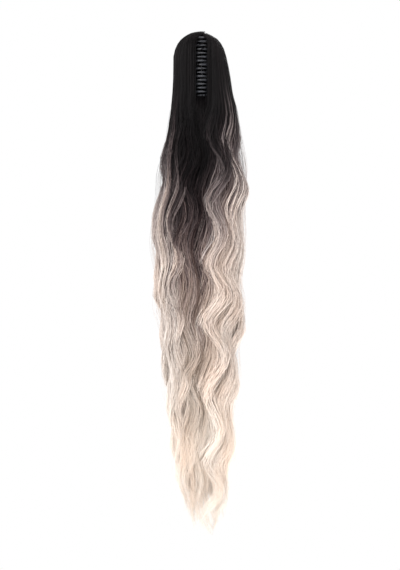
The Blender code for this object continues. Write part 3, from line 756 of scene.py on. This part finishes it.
class Finish:
    """A material and the few calls that build its shader."""

    def __init__(self, name):
        self.material = bpy.data.materials.new(name)
        self.material.use_nodes = True
        self.tree = self.material.node_tree
        self.shader = self.tree.nodes["Principled BSDF"]

    def node(self, kind, settings=None, inputs=None, output=0):
        """Adds one node: its settings first, then the values or links of its sockets."""
        made = self.tree.nodes.new(kind)
        for name, value in (settings or {}).items():
            if name == "stops":
                self.set_stops(made.color_ramp, value)
            else:
                setattr(made, name, value)
        self.fill(made, inputs or {})
        return Value(self, made.outputs[output])

    def fill(self, node, inputs):
        """Links or sets a node's sockets."""
        for name, value in inputs.items():
            if isinstance(value, Value):
                self.tree.links.new(value.socket, node.inputs[name])
            else:
                node.inputs[name].default_value = value

    def set_stops(self, ramp, stops):
        """Gives a colour ramp its stops, each a place and a colour."""
        while len(ramp.elements) < len(stops):
            ramp.elements.new(0.5)
        for element, (place, colour) in zip(ramp.elements, stops):
            element.position = place
            element.color = colour

    def surface(self, **inputs):
        """Sets the surface's own sockets and gives back the finished material."""
        self.fill(self.shader, {name.replace("_", " "): value for name, value in inputs.items()})
        return self.material

    def place(self, scale=(1, 1, 1)):
        """Object coordinates, scaled along each axis."""
        spot = self.node("ShaderNodeTexCoord", output="Object")
        return self.node("ShaderNodeMapping", {}, {"Vector": spot, "Scale": scale})

    def noise(self, vector, scale, detail=2.0):
        """Soft noise from 0 to 1."""
        return self.node("ShaderNodeTexNoise", {}, {"Vector": vector, "Scale": scale, "Detail": detail})

    def ramp(self, share, *stops):
        """A colour that runs through stops as share goes from 0 to 1."""
        return self.node("ShaderNodeValToRGB", {"stops": stops}, {"Fac": share})

    def relief(self, height, strength, depth):
        """A small raised pattern, as a normal for the surface."""
        sockets = {"Height": height, "Strength": strength, "Distance": depth}
        return self.node("ShaderNodeBump", {}, sockets)


def rgb(red, green, blue):
    """A colour given by its 0 to 255 screen values, as the shader's linear one."""
    def linear(value):
        share = value / 255
        return share / 12.92 if share <= 0.04045 else ((share + 0.055) / 1.055) ** 2.4
    return (linear(red), linear(green), linear(blue), 1.0)


HAIR_COLOURS = (
    (0.00, rgb(15, 13, 14)),
    (0.12, rgb(46, 40, 41)),
    (0.30, rgb(107, 96, 96)),
    (0.50, rgb(166, 152, 148)),
    (0.72, rgb(216, 203, 195)),
    (1.00, rgb(252, 241, 230)),
)
WARM_TINT = rgb(255, 240, 228)

# How much of each noise shows in the hair's lightness, brightness and gloss
FINE_STREAKS = 0.10
BROAD_STREAKS = 0.10
FINE_SHADE = 0.18
FINE_GLOSS = 0.12

# How a strand's tone changes its brightness and saturation
TONE_BRIGHTNESS = 1.6
TONE_SATURATION = 1.8

# Peach patches in the light hair, which fade out from the clip side to the outer side
WARM_FROM = 0.47
WARM_FADE = 5.0
WARM_STRENGTH = 2.6

# A Mix node's sockets for colours
MIX_SHARE, MIX_FIRST, MIX_SECOND, MIX_RESULT = 0, 6, 7, 2


def hair_finish():
    """Fine hair that runs from near black through ash brown to cream, with streaks and soft gloss."""
    finish = Finish("hair_ombre")
    lightness = finish.node("ShaderNodeAttribute", {"attribute_name": "lightness"}, output="Fac")
    # The tone attribute carries each strand's own tone and the painted shade of strands sunk in their lock.
    tone = finish.node("ShaderNodeAttribute", {"attribute_name": "tone"}, output="Fac")
    fine = finish.noise(finish.place((1, 1, 0.05)), scale=900.0) - 0.5
    broad = finish.noise(finish.place((1, 1, 0.25)), scale=70.0) - 0.5
    colour = finish.ramp(lightness + FINE_STREAKS * fine + BROAD_STREAKS * broad, *HAIR_COLOURS)
    brightness = 1.0 + tone * TONE_BRIGHTNESS + FINE_SHADE * fine
    saturation = 1.0 - tone * TONE_SATURATION
    sockets = {"Color": colour, "Value": brightness, "Saturation": saturation}
    colour = finish.node("ShaderNodeHueSaturation", {}, sockets)
    warm = finish.noise(finish.place((1, 1, 0.2)), scale=28.0)
    back = finish.node("ShaderNodeSeparateXYZ", {}, {"Vector": finish.place()}, output="Y")
    warmth = lightness * (warm - WARM_FROM - WARM_FADE * back) * WARM_STRENGTH
    colour = finish.node(
        "ShaderNodeMix",
        {"data_type": "RGBA", "blend_type": "MULTIPLY"},
        {MIX_SHARE: warmth, MIX_FIRST: colour, MIX_SECOND: WARM_TINT},
        output=MIX_RESULT,
    )
    return finish.surface(
        Base_Color=colour,
        Roughness=0.46 + FINE_GLOSS * fine,
        Specular_IOR_Level=0.07,
        Normal=finish.relief(fine, strength=0.25, depth=0.0004),
    )


def moulded_plastic():
    """Glossy black moulded plastic with a faint flow texture."""
    finish = Finish("black_moulded_plastic")
    cloud = finish.noise(finish.place(), scale=120.0, detail=3.0)
    grain = finish.noise(finish.place(), scale=2200.0)
    return finish.surface(
        Base_Color=finish.ramp(cloud, (0.35, rgb(27, 27, 31)), (0.65, rgb(37, 38, 43))),
        Roughness=0.40 + 0.14 * cloud,
        Specular_IOR_Level=0.30,
        Coat_Weight=0.06,
        Coat_Roughness=0.22,
        Normal=finish.relief(grain, strength=0.12, depth=0.0002),
    )


def drawn_steel():
    """Bright steel wire, drawn along its length and a little dulled."""
    finish = Finish("drawn_steel")
    lines = finish.noise(finish.place((1, 1, 0.1)), scale=1500.0)
    return finish.surface(
        Base_Color=finish.ramp(lines, (0.3, rgb(150, 150, 154)), (0.7, rgb(188, 188, 190))),
        Metallic=1.0,
        Roughness=0.28 + 0.2 * lines,
        Normal=finish.relief(lines, strength=0.2, depth=0.0001),
    )


def finish_clip():
    """The jaws, pin and spring keep their frame shapes and get their finishes."""
    plastic = moulded_plastic()
    steel = drawn_steel()
    for node, material in (
        ("jaw_left", plastic),
        ("jaw_right", plastic),
        ("hinge_pin", steel),
        ("spring", steel),
    ):
        for slot in frame["nodes"][node].material_slots:
            slot.material = material


# Crown linings, and the angle behind the hinge that is cut clear for the right one to open
MERGE_GAP = 0.00005
LINING_VOXEL = 0.0024
LINING_INSET = 0.0010
LINING_LIGHTNESS = 0.02
LINING_TONE = -0.10
HINGE = tuple((pin_low + pin_high) / 2)
CLEAR_ANGLE = math.radians(43)


def crown_lining(side):
    """The dark sewn hair under the crown's strands: the frame's crown, rounded and drawn in a little."""
    lining = frame["nodes"]["crown_" + side].copy()
    lining.data = lining.data.copy()
    lining.name = "crown_lining_" + side
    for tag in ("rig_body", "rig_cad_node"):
        del lining[tag]
    lining.parent = None
    bpy.context.scene.collection.objects.link(lining)
    bpy.ops.object.select_all(action="DESELECT")
    lining.select_set(True)
    bpy.context.view_layer.objects.active = lining
    bpy.ops.object.mode_set(mode="EDIT")
    bpy.ops.mesh.select_all(action="SELECT")
    bpy.ops.mesh.remove_doubles(threshold=MERGE_GAP)
    if side == "right":
        bpy.ops.mesh.select_all(action="SELECT")
        bpy.ops.mesh.bisect(
            plane_co=HINGE,
            plane_no=(-math.cos(CLEAR_ANGLE), math.sin(CLEAR_ANGLE), 0),
            use_fill=True,
            clear_outer=True,
        )
    bpy.ops.object.mode_set(mode="OBJECT")
    remesh = lining.modifiers.new("Remesh", "REMESH")
    remesh.mode = "VOXEL"
    remesh.voxel_size = LINING_VOXEL
    bpy.ops.object.modifier_apply(modifier=remesh.name)
    bpy.ops.object.mode_set(mode="EDIT")
    bpy.ops.mesh.select_all(action="SELECT")
    bpy.ops.transform.shrink_fatten(value=-LINING_INSET)
    bpy.ops.mesh.vertices_smooth(factor=0.5, repeat=4)
    bpy.ops.object.mode_set(mode="OBJECT")
    bpy.ops.object.shade_smooth()
    points = len(lining.data.vertices)
    tint(lining, np.full(points, LINING_LIGHTNESS), np.full(points, LINING_TONE))
    return lining


# The mass inside the fall, as shares of the outline: way down the fall and how far it reaches
CORE_ROWS = (
    # down, reach
    (-0.015, 0.60),
    (0.04, 0.74),
    (0.12, 0.78),
    (0.22, 0.78),
    (0.32, 0.76),
    (0.42, 0.74),
    (0.52, 0.70),
    (0.62, 0.64),
    (0.70, 0.54),
    (0.78, 0.38),
    (0.84, 0.16),
)
CORE_SIDES = 32
CORE_RADIUS = 0.04
CORE_RIPPLE = 0.0022
CORE_RIPPLES = 11
CORE_RIPPLE_SWAY = 1.4
CORE_TURN_DROP = 0.02
CORE_FADE_GAIN = 1.2
CORE_TONE = -0.06

# Points and faces are numbered by their distance from here, so the numbering is the same in every run
NUMBERED_FROM = (0.31, -0.17, 0.23)


def core_ring(down, reach):
    """Centre of a ring of the inner mass, and its half width and half depth."""
    way = CROWN_WAY + (WHOLE_WAY - CROWN_WAY) * max(down, 0)
    height, left, right, front, back, shift = outline_at(way)
    return (
        (shift + (right - left) / 2, (back - front) / 2, height - FALL_LENGTH * min(down, 0)),
        (reach * (left + right) / 2, reach * (front + back) / 2, 1.0),
    )


def inner_mass():
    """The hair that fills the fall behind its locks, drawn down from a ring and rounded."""
    centre, scale = core_ring(*CORE_ROWS[0])
    bpy.ops.mesh.primitive_circle_add(vertices=CORE_SIDES, radius=1.0, fill_type="NGON", location=centre)
    core = bpy.context.active_object
    core.name = "inner_mass"
    core.scale = scale
    bpy.ops.object.transform_apply(location=True, rotation=False, scale=True)
    bpy.ops.object.mode_set(mode="EDIT")
    bpy.ops.mesh.select_all(action="SELECT")
    for row in CORE_ROWS[1:]:
        new_centre, new_scale = core_ring(*row)
        shift = [new - old for old, new in zip(centre, new_centre)]
        bpy.ops.mesh.extrude_region_move(TRANSFORM_OT_translate={"value": shift})
        bpy.ops.transform.resize(
            value=[new / old for old, new in zip(scale, new_scale)],
            center_override=new_centre,
        )
        centre, scale = new_centre, new_scale
    bpy.ops.mesh.select_all(action="SELECT")
    bpy.ops.mesh.normals_make_consistent(inside=False)
    bpy.context.scene.cursor.location = NUMBERED_FROM
    bpy.ops.mesh.sort_elements(type="CURSOR_DISTANCE", elements={"VERT", "EDGE", "FACE"})
    bpy.ops.object.mode_set(mode="OBJECT")
    rounding = core.modifiers.new("Rounding", "SUBSURF")
    rounding.levels = rounding.render_levels = 2
    bpy.ops.object.modifier_apply(modifier=rounding.name)
    bpy.ops.object.shade_smooth()

    co = np.array([vertex.co for vertex in core.data.vertices])
    height = co[:, 2]
    bearing = np.arctan2(co[:, 0], -co[:, 1])
    sway = CORE_RIPPLE_SWAY * np.sin(WHOLE_TURN * height / CLIP_SIDE_WAVE)
    ripple = CORE_RIPPLE * np.sin(CORE_RIPPLES * bearing + sway)
    grown = 1 + ripple[:, None] / CORE_RADIUS * np.array([1, 1, 0])
    core.data.vertices.foreach_set("co", (co * grown).astype(np.float32).ravel())
    turn, fade = colour_turn(np.degrees(bearing))
    turn, fade = turn - CORE_TURN_DROP, fade * CORE_FADE_GAIN
    lightness = lightness_at(height, turn, fade, CORE_ASH, CORE_CREAM_FROM)
    tint(core, lightness, np.full(len(co), CORE_TONE))
    return core


hair = hair_finish()


def finished(piece, body):
    """Gives a hair piece its material, and either the body it moves with or, for both, its transform baked
    into its mesh.
    """
    piece.data.materials.clear()
    piece.data.materials.append(hair)
    if body == "both":
        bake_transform(piece)
    else:
        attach(piece, body)
    return piece


def strand_piece(name, strands, body):
    """Makes and finishes one piece of strands."""
    finished(strand_mesh(name, strands), body)


def side_of(locks, right):
    """The locks on the right, or those on the left."""
    return [lock for lock in locks if (math.sin(math.radians(lock.bearing)) > 0) == right]


# Stations down a strand
OUTER_STEPS = 39
INNER_STEPS = 28
FLYAWAY_STEPS = 32
WISP_STEPS = 20

OUTER_STRANDS = 640
OUTER_LOCKS = {"thickness": 0.0065, "share": 0.985}


def outer_strands():
    """The locks that show, sewn over the clip and hanging to the tips."""
    clip_side = locks_of(CLIP_SIDE, width=0.0160, wave=CLIP_SIDE_WAVE, **OUTER_LOCKS)
    outer_side = locks_of(OUTER_SIDE, width=0.0175, wave=OUTER_SIDE_WAVE, **OUTER_LOCKS)
    for name, locks, right in (
        ("strands_left_clip_side", clip_side, False),
        ("strands_right_clip_side", clip_side, True),
        ("strands_left_outer_side", outer_side, False),
        ("strands_right_outer_side", outer_side, True),
    ):
        mine = side_of(locks, right)
        strands = Strands(mine, OUTER_STRANDS // len(mine), OUTER_STEPS)
        strand_piece(name, strands, "both" if right else "clip_left")


def strands_under_clip():
    """Dark hair that comes out below the comb."""
    locks = locks_of(
        [UNDER_CLIP], width=0.0150, thickness=0.0060, share=0.97, wave=CLIP_SIDE_WAVE, own_turn=True)
    strands = Strands(locks, each=60, steps=INNER_STEPS, begin=-0.036)
    strand_piece("strands_under_clip", strands, "clip_left")


# Wisps stand off beside the crown most at this height
WISP_BOW = 0.0070
WISP_BOW_HEIGHT = -0.100
WISP_BOW_SPREAD = 0.032
WISP_SPREAD = 12
WISP_FAMILY = Family(0, 0, 3, -0.20, 0.0050, 0.0, 0.09, 0.0, 0.0005, 0.26)
WISP_TURN_DROP = 0.014
WISP_THINNESS = 0.34
WISP_DULLNESS = 0.60
WISP_TONE = 0.16


def wisp_bow(height):
    """How far the loose wisps beside the crown stand off, at a height."""
    return WISP_BOW * bell(height - WISP_BOW_HEIGHT, WISP_BOW_SPREAD)


def wisps():
    """A few short pale hairs on both sides of the crown."""
    for name, bearing, each, begin, body in (
        ("wisps_left", -92, 4, -0.052, "clip_left"),
        ("wisps_right", 90, 8, -0.034, "both"),
    ):
        family = WISP_FAMILY._replace(
            first=bearing - WISP_SPREAD,
            last=bearing + WISP_SPREAD,
            turn=begin - WISP_TURN_DROP,
        )
        locks = locks_of(
            [family], width=0.0160, thickness=0.0020, share=1.0, wave=CLIP_SIDE_WAVE, own_turn=True)
        strands = Strands(locks, each, WISP_STEPS, begin=begin, bow=wisp_bow)
        strands.width = strands.width * WISP_THINNESS
        strands.lightness = strands.lightness * WISP_DULLNESS
        strands.tone = strands.tone + WISP_TONE
        strand_piece(name, strands, body)


# Flyaways stand off the locks from this height down
FLYAWAY_BOW = 0.0050
FLYAWAY_BOW_FROM = -0.06
FLYAWAY_BOW_OVER = 0.08
FLYAWAY_THINNESS = 0.32


def flyaway_bow(height):
    """How far single loose strands stand off the locks, at a height."""
    return FLYAWAY_BOW * smooth((FLYAWAY_BOW_FROM - height) / FLYAWAY_BOW_OVER)


def flyaways():
    """Single loose strands outside the locks."""
    for name, family, body in (
        ("flyaways_left", FLYAWAYS_LEFT, "clip_left"),
        ("flyaways_right", FLYAWAYS_RIGHT, "both"),
    ):
        locks = locks_of([family], width=0.0300, thickness=0.0030, share=1.0, wave=OUTER_SIDE_WAVE)
        strands = Strands(locks, each=9, steps=FLYAWAY_STEPS, begin=-0.044, bow=flyaway_bow)
        strands.width = strands.width * FLYAWAY_THINNESS
        strand_piece(name, strands, body)


def inner_strands():
    """A second layer that shows between the locks."""
    for name, family in (("inner_left", INNER_LEFT), ("inner_right", INNER_RIGHT)):
        locks = locks_of([family], width=0.0200, thickness=0.0080, share=0.90, wave=OUTER_SIDE_WAVE)
        strands = Strands(locks, each=32, steps=INNER_STEPS, begin=-0.042)
        strand_piece(name, strands, "clip_left")


def hidden_hair():
    """The linings and the inner mass, which stand for the frame's crowns and falls."""
    for side, body in (("left", "clip_left"), ("right", "clip_right")):
        lining = finished(crown_lining(side), body)
        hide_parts("crown_" + side)
    core = finished(inner_mass(), "clip_left")
    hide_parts("fall_left", "fall_right")


finish_clip()
outer_strands()
strands_under_clip()
wisps()
flyaways()
inner_strands()
hidden_hair()

# Studio
SOFT_BOXES = (
    # name, place, size, power
    ("key_box", (-0.9, -1.6, 0.6), 1.1, 36.0),
    ("fill_box", (1.2, -1.4, 0.0), 1.2, 16.0),
    ("back_box", (0.6, 1.8, 0.5), 1.2, 36.0),
)
LIGHT_AIM = Vector((0, 0, -0.28))
WHITE = (1, 1, 1, 1)
FLOOR_RADIUS = 1.3
FLOOR_DROP = 0.45
FLOOR_SOLIDITY = 1.6
VIEW_HEIGHT = 0.745
LENS = 85


def white_room(scene):
    """Even white light from all round."""
    scene.view_settings.view_transform = "Standard"
    scene.view_settings.look = "None"
    world = bpy.data.worlds.new("white_room")
    world.use_nodes = True
    world.node_tree.nodes["Background"].inputs["Color"].default_value = WHITE
    world.node_tree.nodes["Background"].inputs["Strength"].default_value = 1.0
    scene.world = world


def soft_boxes(scene):
    """Three large soft lights aimed at the middle of the hair."""
    for name, place, size, power in SOFT_BOXES:
        light = bpy.data.lights.new(name, "AREA")
        light.size = size
        light.energy = power
        box = bpy.data.objects.new(name, light)
        box.location = place
        aim = LIGHT_AIM - Vector(place)
        box.rotation_euler = aim.to_track_quat("-Z", "Y").to_euler()
        scene.collection.objects.link(box)


def pale_floor():
    """Matt near-white floor, which fades out towards its rim."""
    finish = Finish("pale_floor")
    grain = finish.noise(finish.place(), scale=4.0)
    near = finish.node(
        "ShaderNodeTexGradient",
        {"gradient_type": "SPHERICAL"},
        {"Vector": finish.place([1 / FLOOR_RADIUS] * 3)},
        output="Fac",
    )
    return finish.surface(
        Base_Color=finish.ramp(grain, (0.3, rgb(240, 240, 240)), (0.7, rgb(246, 246, 246))),
        Roughness=0.9,
        Alpha=FLOOR_SOLIDITY * near,
    )


def floor_below():
    """A round pale floor well below the tips."""
    place = (0, 0, fall_low[2] - FLOOR_DROP)
    bpy.ops.mesh.primitive_circle_add(vertices=96, radius=FLOOR_RADIUS, fill_type="NGON", location=place)
    floor = bpy.context.active_object
    floor.name = "floor"
    floor.data.materials.append(pale_floor())


def level_camera(scene):
    """A camera level with the middle of the hair, on its clip side."""
    middle = (cad_box[0] + cad_box[1]) / 2
    lens = bpy.data.cameras.new("camera")
    lens.lens = LENS
    distance = VIEW_HEIGHT / 2 / (lens.sensor_width / 2 / lens.lens)
    camera = bpy.data.objects.new("camera", lens)
    camera.location = (middle[0], -distance, middle[2])
    camera.rotation_euler = (math.pi / 2, 0, 0)
    scene.collection.objects.link(camera)
    scene.camera = camera


scene = bpy.context.scene
white_room(scene)
soft_boxes(scene)
floor_below()
level_camera(scene)
